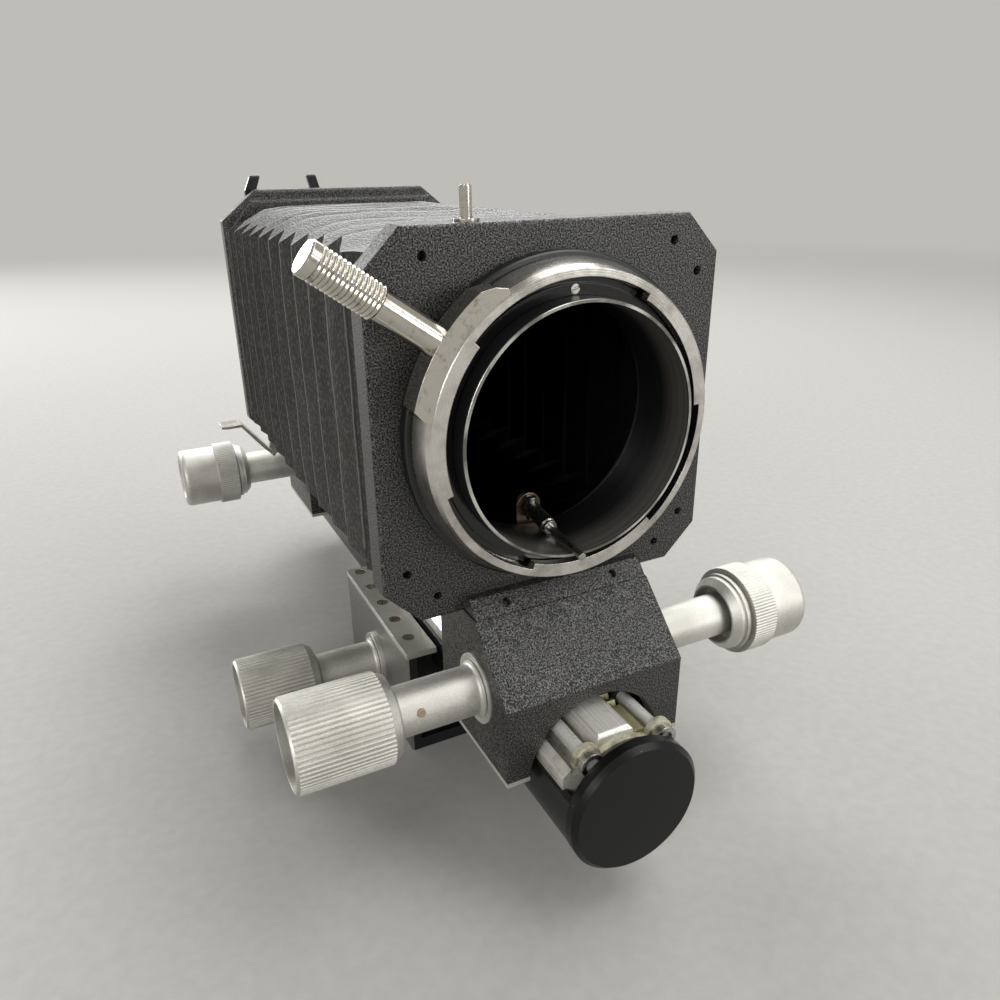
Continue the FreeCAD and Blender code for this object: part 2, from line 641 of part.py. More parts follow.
def rim_edges(y):
    """The outer rim edges of a plate at height y along the optical axis."""
    def pick(edge):
        points = [v.Point for v in edge.Vertexes]
        on_face = len(points) == 2 and all(abs(p.y - y) < 0.01 for p in points)
        return on_face and all(max(abs(p.x), abs(p.z)) > 28 for p in points)
    return pick


def foot_screw(x, y, z, out):
    """Screw set deep in a hole in the sloping foot."""
    down = vec(0, -out * math.sqrt(0.5), -math.sqrt(0.5))
    mouth = vec(x, y, z)
    screw = Part.makeCylinder(PLATE_HOLE, 7.0, mouth + down * 1.2, down)
    return screw, Part.makeCylinder(PLATE_HOLE, 12.0, mouth - down * 3, down)


def camera_standard():
    pieces = running_gear("camera", CAMERA_SHAFT_Y, False, LOCK_KNOB)

    plate = octagon(HALF, PLATE_CORNER, 0, PLATE_THICK)
    plate = eased(plate, 0.7, rim_edges(0))
    foot = prism_x([(0.5, -HALF), (0.5, -32.7), (-2.0, -32.7), (CAMERA_SHAFT_Y, -HALF)], -19.7, 19.7)
    plate = fuse([plate, foot])
    in_corner = ((25.3, 31.2), (31.2, 25.3))
    spots = [(sx * a, sz * b) for sx in (-1, 1) for sz in (-1, 1) for a, b in in_corner]
    screws = []
    tools = [rod_y(HUB_R, -1, PLATE_THICK + 1)]
    for x, z in spots:
        tools.append(rod_y(PLATE_HOLE, -1, PLATE_THICK + 1, x, z))
        screws.append(rod_y(PLATE_HOLE, 2.0, PLATE_THICK, x, z))
    for side in (-1, 1):
        screw, hole = foot_screw(side * 12.4, -3.5, -34.1, -1)
        screws.append(screw)
        tools.append(hole)
        pieces["housing"] = pieces["housing"].cut(hole)
    pocket_floor = 28.0
    tools.append(rod_z(1.1, 20.0, HALF + 1, LATCH_X, LATCH_Y))
    tools.append(rod_z(2.0, pocket_floor, HALF + 1, LATCH_X, LATCH_Y))
    plate = cut(plate, tools)

    pin_r = 1.05
    pin = fuse([rod_z(pin_r, 21.9, 41.6, LATCH_X, LATCH_Y), rod_z(1.85, 35.0, 35.95, LATCH_X, LATCH_Y)])
    pin = fuse([pin, rod_z(pin_r - 0.25, 41.5, 41.8, LATCH_X, LATCH_Y)])
    washer = rod_z(2.3, HALF, HALF + 0.5, LATCH_X, LATCH_Y)
    washer = washer.cut(rod_z(1.1, HALF - 1, HALF + 1, LATCH_X, LATCH_Y))
    spring = latch_spring(pocket_floor + 0.05, 34.95)

    frame = octagon(BELLOWS_FRAME_HALF, 1.5, PLATE_THICK, PLATE_THICK + BELLOWS_FRAME)
    frame = frame.cut(block(-30.2, 30.2, PLATE_THICK - 1, PLATE_THICK + 9, -30.2, 30.2))

    axis = vec(0, -0.93, 0.37)
    middle = vec(-33.5, CAMERA_SHAFT_Y, SHAFT_Z)
    cross_pin = Part.makeCylinder(CROSS_PIN_R, 2 * (NECK_R + 0.1), middle - axis * (NECK_R + 0.1), axis)
    for k in ("focus_knob", "drive_shaft"):
        pieces[k] = pieces[k].cut(cross_pin)

    for k, v in pieces.items():
        save(f"camera_{k}", v)
    save("camera_cross_pin", cross_pin)
    save("camera_plate", plate)
    save("camera_plate_screws", *screws)
    save("camera_bellows_frame", frame)
    save("latch_pin", pin)
    save("latch_washer", washer)
    save("latch_spring", spring)


def latch_spring(z0, z1):
    """Compression spring round the latch pin."""
    wire = 0.2
    coil_r = 1.6
    helix = Part.makeHelix((z1 - z0 - 2 * wire) / 6, z1 - z0 - 2 * wire, coil_r)
    section = Part.Wire(Part.Circle(vec(coil_r, 0, 0), vec(0, 1, 0), wire).toShape())
    coil = Part.Wire(helix).makePipeShell([section], True, True)
    coil.translate(vec(LATCH_X, LATCH_Y, z0 + wire))
    return coil


def camera_mount():
    """What turns in the camera plate: base, throat, seat, breech ring with its handle, coupling lever."""
    gap = 0.05
    nose_y = -5.0               # front of the base's inner part
    base = turned_y([
        (nose_y, THROAT_SEAT_R), (nose_y, 26.55), (-BASE_THICK, 26.55), (-BASE_THICK, BASE_R - 0.3),
        (-BASE_THICK + 0.3, BASE_R), (-gap, BASE_R), (-gap, HUB_R - 0.06),
        (PLATE_THICK + 0.1, HUB_R - 0.06), (PLATE_THICK + 0.1, THROAT_SEAT_R),
    ])
    latch_angle = math.degrees(math.atan2(22.3, LATCH_X))
    groove = sector(24.9, HUB_R + 1, latch_angle - 3.4, latch_angle + 95, LATCH_Y - 1.3, LATCH_Y + 1.3)
    retainer = ring_y(29.5, 24.2, PLATE_THICK + 0.1, PLATE_THICK + 1.3)
    step_y = REGISTER_Y + 0.6   # step round the register face
    seat = turned_y([
        (REGISTER_Y, REGISTER[0]), (REGISTER_Y, REGISTER[1]), (step_y, REGISTER[1]), (step_y, 27.1),
        (nose_y, 27.1), (nose_y, THROAT_SEAT_R), (REGISTER_Y + 0.3, THROAT_SEAT_R),
    ])
    throat = turned_y([
        (THROAT_FRONT, THROAT_BORE), (THROAT_FRONT, THROAT_R - 0.15), (THROAT_FRONT + 0.15, THROAT_R),
        (REGISTER_Y, THROAT_R), (REGISTER_Y, THROAT_SEAT_R), (0.5, THROAT_SEAT_R), (0.5, THROAT_BORE),
    ])

    front, back = vec(0, -1, 0), vec(0, 1, 0)
    place = vec(0, FLANGE_HEAD_Y, FLANGE_SCREW_R)
    head_room = turned_to(Part.makeCylinder(FLANGE_HEAD_R, 2), front, place)
    screws = [turned_to(slotted_screw(FLANGE_HEAD_R, 0.35, 0.45, 3.5, 0.3), front, place, 25)]
    for angle in (110, 230, 350):
        x, z = polar(26.0, angle)
        place = vec(x, PLATE_THICK + 1.3, z)
        screws.append(turned_to(slotted_screw(1.3, 0.6, 0.7, 4.0, 0.3), back, place, 25))
    base = cut(base, [groove] + screws)
    retainer = cut(retainer, screws)
    seat = cut(seat, [head_room] + screws)
    throat = cut(throat, screws)

    lever_at = vec(-1.7, 6.1, -20.0)
    shield_r = 2.75
    shield_y = PLATE_THICK + 1.3
    shield = fuse([
        rod_y(shield_r, shield_y, shield_y + 0.8, lever_at.x, lever_at.z),
        block(lever_at.x - shield_r, lever_at.x + shield_r, shield_y, shield_y + 0.8, -28.0, lever_at.z),
    ])
    lever_axis = vec(0, -12.7, -1.25).normalize()
    knee = vec(lever_at.x, -0.8, -21.25)
    stub = knee - lever_at
    lever = fuse([
        rod_z(1.0, lever_at.z - 2.4, lever_at.z + 2.4, lever_at.x, lever_at.y),
        Part.makeCylinder(1.6, stub.Length, lever_at, vec(stub.x, stub.y, stub.z).normalize()),
        Part.makeCylinder(1.4, 1.0, knee, lever_axis),
        Part.makeCylinder(0.72, 12.8, knee, lever_axis),
    ])

    breech = breech_ring()
    lug_y = (BREECH_FRONT + 0.1, -3.2)
    lug_outline = [polar(r, angle) for r, angle in (
        (20, 118), (29.8, 118), (31.2, 121.5), (32.6, 127.5), (45, 131), (45, 148), (45, 163), (32.6, 165),
        (30, 168.5), (20, 169),
    )]
    lug = ring_y(LUG_R, 28.5, *lug_y).common(prism_y(lug_outline, *lug_y)).cut(breech)
    x, z = polar(1.0, HANDLE_ANGLE)
    out = vec(x, 0, z)
    root = vec(0, -5.6, 0)
    rod = Part.makeCone(2.75, 2.5, 14.0, root + out * 31.0, out)
    grip = handle_grip(root, out)
    lug = lug.cut(rod)
    grip = grip.cut(rod)

    save("mount_base", base)
    save("mount_retaining_ring", retainer)
    save("seat_flange", seat)
    save("throat_tube", throat)
    save("mount_screws", *screws)
    save("lever_shield", shield)
    save("aperture_lever", lever)
    save("breech_ring", breech)
    save("breech_lug", lug)
    save("breech_handle_rod", rod)
    save("breech_handle_grip", grip)


def breech_ring():
    """Chrome ring with three claws that turns round the mount base and clamps a camera's seat."""
    rear = -BASE_THICK - 0.1
    ring = turned_y([
        (rear, 26.62), (rear, BREECH_R), (rear - 0.6, BREECH_R), (BREECH_FRONT + 1.3, BREECH_R - 0.8),
        (BREECH_FRONT + 0.1, BREECH_R - 1.3), (BREECH_FRONT, BREECH_R - 1.45),
        (BREECH_FRONT, RECESS_R), (-6.5, RECESS_R), (-6.5, 27.5), (-4.9, 27.5), (-4.9, 26.62),
    ])
    claws = [sector(CLAW_R, 27.6, a, b, BREECH_FRONT, -6.5) for a, b in CLAW_ARCS]
    return fuse([ring] + claws)


def handle_grip(root, out):
    """Flat-ended grip with turned grooves, along out from root."""
    start, end, r = 43.3, 56.5, 3.0
    grooves, pitch, width, depth = 14, 0.8, 0.6, 0.25
    outline = [(start, 0), (start, 2.6), (start + 0.4, r)]
    for i in range(grooves):
        at = start + 0.5 + pitch * i
        outline += [(at, r), (at + width / 2, r - depth), (at + width, r)]
    outline += [(end - 0.3, r), (end, r - 0.3), (end, 0)]
    grip = turned_x(outline, 0, 0)
    grip.Placement = FreeCAD.Placement(root, FreeCAD.Rotation(vec(1, 0, 0), out))
    return grip


def lens_standard():
    pieces = running_gear("lens", LENS_SHAFT_Y, True, LENS_LOCK_KNOB)
    face_y = LENS_Y + PLATE_THICK
    step = 1.2

    lip_half = 35.4
    eased_edge = 1.05           # rounding of the front edges
    plate = mirrored([(29.4, -HALF), (HALF, -28.8), (HALF, 30.2), (25.6, 38.5)], LENS_Y + step, face_y)
    plate = eased(eased(plate, 0.7, rim_edges(face_y)), eased_edge, rim_edges(LENS_Y + step))
    lip = [(28.8, -34.8), (lip_half, -28.0), (lip_half, 27.0), (27.9, 35.8)]
    lip = eased(mirrored(lip, LENS_Y, LENS_Y + step + 0.5), eased_edge, rim_edges(LENS_Y))
    foot = prism_x([
        (face_y - 0.5, -HALF), (face_y - 0.5, -32.7), (LENS_SHAFT_Y - 3.3, -32.7), (LENS_SHAFT_Y, -HALF),
    ], -19.7, 19.7)
    plate = fuse([plate, lip, foot]).cut(rod_y(25.0, LENS_Y - 1, face_y + 1))

    screws = []
    for side in (-1, 1):
        screw, hole = foot_screw(side * 12.4, LENS_SHAFT_Y - 1.65, -34.35, 1)
        screws.append(screw)
        plate = plate.cut(hole)
        pieces["housing"] = pieces["housing"].cut(hole)

    bore = 24.2
    ring = turned_y([
        (face_y, bore), (face_y, BASE_R), (face_y + 1.5, BASE_R), (face_y + 1.8, BASE_R - 0.3),
        (face_y + 1.8, 26.0), (face_y + 4.8, 26.0), (face_y + 4.8, bore),
    ])
    claws = [sector(25.5, 27.6, a, a + 56, face_y + 3.4, face_y + 4.8) for a in (2, 122, 242)]
    ring = fuse([ring] + claws)
    for angle in (45, 135, 225, 315):
        x, z = polar(29.2, angle)
        place = vec(x, face_y + 1.8, z)
        screws.append(turned_to(slotted_screw(1.4, 0.5, 0.8, 4.0), vec(0, 1, 0), place, angle))
    x, z = polar(29.0, 262)
    screws.append(rod_y(0.8, face_y + 1.0, face_y + 3.4, x, z))

    fork_y = (face_y, face_y + 1.6)
    fork_top = 42.3
    fork = prism_y([
        (-27.9, 31.6), (-4.6, 31.6), (-5.2, 37.5), (-6.4, fork_top - 0.4), (-6.8, fork_top),
        (-8.7, fork_top), (-9.1, fork_top - 0.4), (-8.1, 37.5), (-8.1, 36.2), (-24.5, 36.2), (-24.5, 38.1),
        (-23.0, fork_top - 0.4), (-23.4, fork_top), (-25.5, fork_top), (-25.9, fork_top - 0.4), (-27.7, 38.1),
    ], *fork_y)
    round_r = (fork_y[1] - fork_y[0]) / 2
    side_view = [(fork_y[0], 31.0), (fork_y[1], 31.0)]
    for degrees in range(0, 181, 30):
        y, z = polar(round_r, degrees)
        side_view.append((fork_y[0] + round_r + y, fork_top - round_r + z))
    fork = fork.common(prism_x(side_view, -30.0, -4.0))
    for x in (-22.0, -12.0):
        place = vec(x, fork_y[1], 33.8)
        screws.append(turned_to(slotted_screw(1.3, 0.5, 0.7, 3.5), vec(0, 1, 0), place, 3 * x))

    lever_y = (face_y + 0.1, face_y + 1.3)
    ear = prism_y([
        (-24.5, -33.0), (-21.6, -31.0), (-21.0, -28.4), (-23.0, -26.2), (-25.6, -26.4), (-27.6, -31.0),
        (-30.2, -41.0), (-28.6, -43.4), (-26.8, -42.8),
    ], *lever_y)
    strip = prism_y([
        (-44.2, -31.8), (-42.3, -32.0), (-37.9, -31.9), (-34.1, -36.4), (-31.1, -40.2), (-28.4, -43.5),
        (-29.1, -44.1), (-31.9, -40.9), (-34.9, -37.1), (-38.2, -32.7), (-42.3, -32.8), (-44.1, -32.6),
    ], lever_y[0], lever_y[0] + 6.5)
    lever = fuse([ear, strip])
    pivot = vec(-23.8, lever_y[1], -29.2)
    pivot_screw = turned_to(slotted_screw(1.8, 0.7, 1.0, 4.0), vec(0, 1, 0), pivot, 35)
    lever = lever.cut(rod_y(1.0 + RUNNING, face_y - 1, face_y + 3, pivot.x, pivot.z))
    pivot_screw.translate(vec(0, 0.05, 0))
    screws.append(pivot_screw)

    plate = cut(plate, screws)
    ring = cut(ring, screws)
    fork = cut(fork, screws)

    frame = octagon(BELLOWS_FRAME_HALF, 1.5, LENS_Y - BELLOWS_FRAME, LENS_Y)
    frame = frame.cut(block(-28.6, 28.6, LENS_Y - 9, LENS_Y + 1, -28.6, 28.6))

    for k, v in pieces.items():
        save(f"lens_{k}", v)
    save("lens_plate", plate)
    save("lens_mount_ring", ring)
    save("lens_standard_screws", *screws)
    save("lens_fork", fork)
    save("stop_down_lever", lever)
    save("lens_bellows_frame", frame)


# ---------------------------------------------------------------- bellows
def bellows():
    """Square bellows. Where its sides have a ridge, its top and bottom have a valley, and vice versa."""
    start = PLATE_THICK + BELLOWS_FRAME
    end = LENS_Y - BELLOWS_FRAME
    count = 2 * PLEATS

    def section(i):
        """Fold i: its place along the axis, half its width, and the distance of its top and bottom."""
        t = i / count
        if i:
            t += PLEAT_SHIFT * (1 - t) / count
        y = start + (end - start) * (t + PLEAT_SPREAD * t * (1 - t))
        if i in (0, count):
            return y, BELLOWS_END, BELLOWS_END, BELLOWS_END
        hang = SAG * math.sin(math.pi * t) ** 2
        if i % 2:
            width = SIDE_RIDGE[0] + (SIDE_RIDGE[1] - SIDE_RIDGE[0]) * t ** 2
            top = TOP_VALLEY[1] + (TOP_VALLEY[0] - TOP_VALLEY[1]) * (1 - t) ** 3
        else:
            width, top = SIDE_VALLEY, TOP_RIDGE
        return y, width, top, top + hang

    save("bellows_camera_part", pleated([section(i) for i in range(PLEAT_SPLIT + 1)]))
    save("bellows_lens_part", pleated([section(i) for i in range(PLEAT_SPLIT, count + 1)]))


def pleated(rings):
    """Closed thin-walled solid through rectangular sections (y, half width, top, bottom)."""
    def corners(ring, inset):
        y, width, top, bottom = ring
        w, up, down = width - inset, top - inset, inset - bottom
        return [vec(w, y, up), vec(-w, y, up), vec(-w, y, down), vec(w, y, down)]

    outer = [corners(r, 0) for r in rings]
    inner = [corners(r, SKIN) for r in rings]
    faces = []
    for skin in (outer, inner):
        for a, b in zip(skin, skin[1:]):
            faces += [face([a[k], a[(k + 1) % 4], b[(k + 1) % 4], b[k]]) for k in range(4)]
    for i in (0, -1):
        for k in range(4):
            m = (k + 1) % 4
            faces.append(face([outer[i][k], outer[i][m], inner[i][m], inner[i][k]]))
    shell = Part.Shell(faces)
    solid = Part.Solid(shell)
    return solid if solid.Volume > 0 else solid.reversed()


# ---------------------------------------------------------------- build
os.makedirs("parts", exist_ok=True)
rail()
carriage()
camera_standard()
camera_mount()
lens_standard()
bellows()
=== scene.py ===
"""Looks of the macro bellows unit: each part's finish, the pleated leathercloth, the stage and its light."""
import bpy
import bmesh
import math
from mathutils import Euler, Matrix, Vector, noise


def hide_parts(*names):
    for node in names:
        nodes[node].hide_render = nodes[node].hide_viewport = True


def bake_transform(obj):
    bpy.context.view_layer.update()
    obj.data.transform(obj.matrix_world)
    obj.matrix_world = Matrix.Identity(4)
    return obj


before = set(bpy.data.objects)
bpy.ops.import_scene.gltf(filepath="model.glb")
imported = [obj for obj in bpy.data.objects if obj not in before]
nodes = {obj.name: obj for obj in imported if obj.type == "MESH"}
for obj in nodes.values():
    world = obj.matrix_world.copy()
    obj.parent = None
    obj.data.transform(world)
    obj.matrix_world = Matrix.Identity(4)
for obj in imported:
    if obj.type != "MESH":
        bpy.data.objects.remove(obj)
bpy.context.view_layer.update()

MM = 0.001
AXIS = Vector((0.0, -54.6, 92.0)) * MM      # optical axis at the camera plate's front face
THROAT_LIP_Y = -10.42 * MM                  # along the axis: the throat tube is rubbed bare in front of this
THROAT_SHADE_FADE = (-7.5 * MM, -2.0 * MM)        # and painted shade fades it to black between these
THROAT_OUTSIDE = 23.6 * MM                  # from the axis: the tube's outside starts here
CARRIAGE_BARE_X = 21.8 * MM                 # from the middle: the carriage's walls are bare metal further out; within, the near black is painted shade


# ---------------------------------------------------------------- colour and node helpers
def colour(code):
    """sRGB hex to linear RGBA."""
    channels = [int(code[i:i + 2], 16) / 255 for i in (1, 3, 5)]
    linear = [c / 12.92 if c <= 0.04045 else ((c + 0.055) / 1.055) ** 2.4 for c in channels]
    return (*linear, 1.0)


def per(size_mm):
    """Texture scale, in features per metre, for features this many millimetres across."""
    return 1.0 / (size_mm * MM)


def add(tree, kind, settings=None, inputs=None):
    """Adds a shader node with its settings, and sets or links its inputs. Ramp stops are (place, colour)."""
    made = tree.nodes.new("ShaderNode" + kind)
    for name, value in (settings or {}).items():
        if name == "stops":
            ramp = made.color_ramp.elements
            while len(ramp) < len(value):
                ramp.new(0.5)
            for element, (place, code) in zip(ramp, value):
                element.position = place
                element.color = colour(code) if isinstance(code, str) else (code, code, code, 1.0)
        else:
            setattr(made, name, value)
    for name, value in (inputs or {}).items():
        if isinstance(value, bpy.types.Node):
            value = value.outputs[0]
        if isinstance(value, bpy.types.NodeSocket):
            tree.links.new(value, made.inputs[name])
        else:
            made.inputs[name].default_value = value
    return made


def begin(name):
    """A new material, its node tree and its Object coordinates."""
    made = bpy.data.materials.new(name)
    made.use_nodes = True
    made.node_tree.nodes.clear()
    place = add(made.node_tree, "TexCoord").outputs["Object"]
    return made, made.node_tree, place


def close(tree, inputs, relief=None, depth_mm=0.0, edge_mm=0.0):
    """Adds the Principled shader, with softened edges and relief on its normal."""
    inputs = dict(inputs)
    if edge_mm:
        inputs["Normal"] = add(tree, "Bevel", {"samples": 4}, {"Radius": edge_mm * MM})
    if relief is not None:
        bump = {"Height": relief, "Distance": depth_mm * MM, "Strength": 1.0}
        if edge_mm:
            bump["Normal"] = inputs["Normal"]
        inputs["Normal"] = add(tree, "Bump", None, bump)
    shader = add(tree, "BsdfPrincipled", None, inputs)
    add(tree, "OutputMaterial", None, {"Surface": shader})


# ---------------------------------------------------------------- finishes
def wrinkle_lacquer():
    """Stoved wrinkle lacquer on cast alloy with 0.3 mm wrinkles: painted shade makes it black in their pits,
    and painted highlights make it grey on their tops, where they would shine.
    """
    made, tree, place = begin("black_wrinkle_lacquer")
    wrinkle = add(tree, "TexNoise", None, {"Vector": place, "Scale": per(0.3), "Detail": 1.0})
    worn = add(tree, "TexNoise", None, {"Vector": place, "Scale": per(14), "Detail": 3.0})
    # painted highlight and shade: the base colour runs from black in the wrinkles' pits to grey on their
    # tops, where they catch light
    base = add(tree, "ValToRGB", {
        "stops": [(0.38, "#121212"), (0.52, "#2a2928"), (0.7, "#565450")],
    }, {"Fac": wrinkle})
    rough = add(tree, "MapRange", None, {
        "Value": worn, "From Min": 0.3, "From Max": 0.7, "To Min": 0.38, "To Max": 0.48,
    })
    sheen = add(tree, "MapRange", None, {
        "Value": wrinkle, "From Min": 0.36, "From Max": 0.66, "To Min": 0.15, "To Max": 0.95,
    })
    close(tree, {
        "Base Color": base, "Roughness": rough, "IOR": 1.5, "Specular IOR Level": sheen,
    }, wrinkle, 0.1, 0.5)
    return made


def black_enamel(name, code, specular, gloss):
    """Sprayed black enamel on steel and alloy: smooth satin with dust specks and faint handling marks."""
    made, tree, place = begin(name)
    dust = add(tree, "TexVoronoi", {"feature": "F1"}, {"Vector": place, "Scale": per(2.2), "Randomness": 1.0})
    pick = add(tree, "SeparateColor", None, {"Color": dust.outputs["Color"]})
    few = add(tree, "Math", {"operation": "GREATER_THAN"}, {0: pick, 1: 0.93})
    near = add(tree, "Math", {"operation": "LESS_THAN"}, {0: dust.outputs["Distance"], 1: 0.05})
    speck = add(tree, "Math", {"operation": "MULTIPLY"}, {0: few, 1: near})
    base = add(tree, "ValToRGB", {"stops": [(0.0, code), (1.0, "#8a8a88")]}, {"Fac": speck})
    marks = add(tree, "TexNoise", None, {"Vector": place, "Scale": per(9), "Detail": 4.0})
    rough = add(tree, "MapRange", None, {"Value": marks, "To Min": gloss * 0.8, "To Max": gloss * 1.2})
    fine = add(tree, "TexNoise", None, {"Vector": place, "Scale": per(0.5), "Detail": 1.0})
    close(tree, {
        "Base Color": base, "Roughness": rough, "IOR": 1.5, "Specular IOR Level": specular,
    }, fine, 0.008, 0.25)
    return made


def blasted_metal(name, light, dark, rough_low, rough_high, metallic=1.0):
    """Bead-blasted metal, such as clear-anodised aluminium: a soft sheen with a fine frosted speckle.

    The speckle is 0.35 mm across, coarser than the grit's 0.1 mm, so that it shows.
    """
    made, tree, place = begin(name)
    frost = add(tree, "TexNoise", None, {"Vector": place, "Scale": per(0.35), "Detail": 2.0})
    cloud = add(tree, "TexNoise", None, {"Vector": place, "Scale": per(11), "Detail": 3.0})
    both = add(tree, "Math", {"operation": "MULTIPLY_ADD"}, {0: frost, 1: 0.65, 2: -0.325})
    mixed = add(tree, "Math", {"operation": "ADD"}, {0: cloud, 1: both})
    base = add(tree, "ValToRGB", {"stops": [(0.3, dark), (0.7, light)]}, {"Fac": mixed})
    rough = add(tree, "MapRange", None, {
        "Value": frost, "From Min": 0.3, "From Max": 0.7, "To Min": rough_low, "To Max": rough_high,
    })
    close(tree, {"Base Color": base, "Metallic": metallic, "Roughness": rough}, frost, 0.018, 0.2)
    return made


def from_axis(tree, place):
    """How far a point is from the optical axis."""
    across = add(tree, "VectorMath", {"operation": "MULTIPLY"}, {0: place, 1: (1.0, 0.0, 1.0)})
    return add(tree, "VectorMath", {"operation": "LENGTH"}, {0: across}).outputs["Value"]


def turned_chrome():
    """Plated brass, turned before plating: fine circles about its axis show through the chrome."""
    made, tree, place = begin("turned_satin_chrome")
    centred = add(tree, "Mapping", None, {"Vector": place, "Location": -AXIS})
    lines = add(tree, "TexNoise", {"noise_dimensions": "1D"}, {
        "W": from_axis(tree, centred), "Scale": per(0.22), "Detail": 3.0,
    })
    stain = add(tree, "TexNoise", None, {"Vector": place, "Scale": per(6), "Detail": 4.0, "Roughness": 0.6})
    base = add(tree, "ValToRGB", {"stops": [(0.32, "#a5a19a"), (0.6, "#d2cfc9")]}, {"Fac": stain})
    gloss = add(tree, "MapRange", None, {"Value": lines, "To Min": 0.168, "To Max": 0.336})
    close(tree, {"Base Color": base, "Metallic": 1.0, "Roughness": gloss}, lines, 0.006, 0.2)
    return made


def polished_chrome():
    """Bright chrome plate: mirror-like, with light handling scratches and a little brown grime."""
    made, tree, place = begin("polished_chrome")
    stretched = add(tree, "Mapping", None, {
        "Vector": place, "Scale": (1.0, 0.15, 1.0), "Rotation": (0.3, 0.2, 0.5),
    })
    scratch = add(tree, "TexNoise", None, {"Vector": stretched, "Scale": per(0.4), "Detail": 3.0})
    grime = add(tree, "TexNoise", None, {"Vector": place, "Scale": per(1.6), "Detail": 5.0, "Roughness": 0.7})
    base = add(tree, "ValToRGB", {"stops": [(0.3, "#958b80"), (0.46, "#c6c1b8")]}, {"Fac": grime})
    gloss = add(tree, "MapRange", None, {
        "Value": grime, "From Min": 0.3, "From Max": 0.7, "To Min": 0.2, "To Max": 0.08,
    })
    close(tree, {"Base Color": base, "Metallic": 1.0, "Roughness": gloss}, scratch, 0.003, 0.15)
    return made


def drawn_metal(name, light, dark, stain_code, rough, metallic=1.0, along=1):
    """Drawn or milled bar: faint lines run along its length, with darker stains where grease has dried.

    The lines are 0.4 mm apart, coarser than real drawing marks, so that they show.
    """
    made, tree, place = begin(name)
    squeeze = [1.0, 1.0, 1.0]
    squeeze[along] = 0.02
    stretched = add(tree, "Mapping", None, {"Vector": place, "Scale": squeeze})
    lines = add(tree, "TexNoise", None, {"Vector": stretched, "Scale": per(0.4), "Detail": 3.0})
    stain = add(tree, "TexNoise", None, {"Vector": place, "Scale": per(7), "Detail": 5.0, "Roughness": 0.6})
    metal = add(tree, "ValToRGB", {"stops": [(0.3, dark), (0.7, light)]}, {"Fac": lines})
    where = add(tree, "ValToRGB", {"stops": [(0.50, 0.0), (0.66, 0.75)]}, {"Fac": stain})
    base = add(tree, "MixRGB", None, {"Fac": where, "Color1": metal, "Color2": colour(stain_code)})
    gloss = add(tree, "MapRange", None, {
        "Value": stain, "From Min": 0.35, "From Max": 0.7, "To Min": rough * 0.8, "To Max": rough * 1.5,
    })
    close(tree, {"Base Color": base, "Metallic": metallic, "Roughness": gloss}, lines, 0.01, 0.2)
    return made


def carriage_painted_shade():
    """Bare blasted alloy on the outer side walls; between them near black, which is painted shade for the
    carriage's shaded inside and ends.
    """
    made, tree, place = begin("part_carriage_painted_shade")
    split = add(tree, "SeparateXYZ", None, {"Vector": place})
    side = add(tree, "Math", {"operation": "ABSOLUTE"}, {0: split})
    bare = add(tree, "Math", {"operation": "GREATER_THAN"}, {0: side, 1: CARRIAGE_BARE_X})
    frost = add(tree, "TexNoise", None, {"Vector": place, "Scale": per(0.5), "Detail": 2.0})
    metal = add(tree, "ValToRGB", {"stops": [(0.3, "#8b8b87"), (0.7, "#9c9c98")]}, {"Fac": frost})
    # painted shade: near black between the bare outer walls, on the inside and at the ends
    base = add(tree, "MixRGB", None, {"Fac": bare, "Color1": colour("#0c0c0d"), "Color2": metal})
    close(tree, {"Base Color": base, "Metallic": bare, "Roughness": 0.45}, frost, 0.015, 0.2)
    return made


def cream_casting():
    """Small die-casting with yellowed lacquer, grey where it has rubbed off."""
    made, tree, place = begin("yellowed_casting")
    worn = add(tree, "TexNoise", None, {"Vector": place, "Scale": per(2.5), "Detail": 4.0, "Roughness": 0.6})
    base = add(tree, "ValToRGB", {
        "stops": [(0.36, "#8b8672"), (0.5, "#c4bfa8"), (0.7, "#d8d4c2")],
    }, {"Fac": worn})
    rough = add(tree, "MapRange", None, {"Value": worn, "To Min": 0.5, "To Max": 0.3})
    close(tree, {"Base Color": base, "Metallic": 0.35, "Roughness": rough}, worn, 0.03, 0.25)
    return made


def flocked_black(name, rough, specular):
    """Matt black flock or cloth in the light path: it swallows light, with at most a dull bloom."""
    made, tree, place = begin(name)
    fibre = add(tree, "TexNoise", None, {"Vector": place, "Scale": per(0.6), "Detail": 2.0})
    base = add(tree, "ValToRGB", {"stops": [(0.3, "#08090a"), (0.7, "#15161a")]}, {"Fac": fibre})
    close(tree, {"Base Color": base, "Roughness": rough, "Specular IOR Level": specular}, fibre, 0.02)
    return made


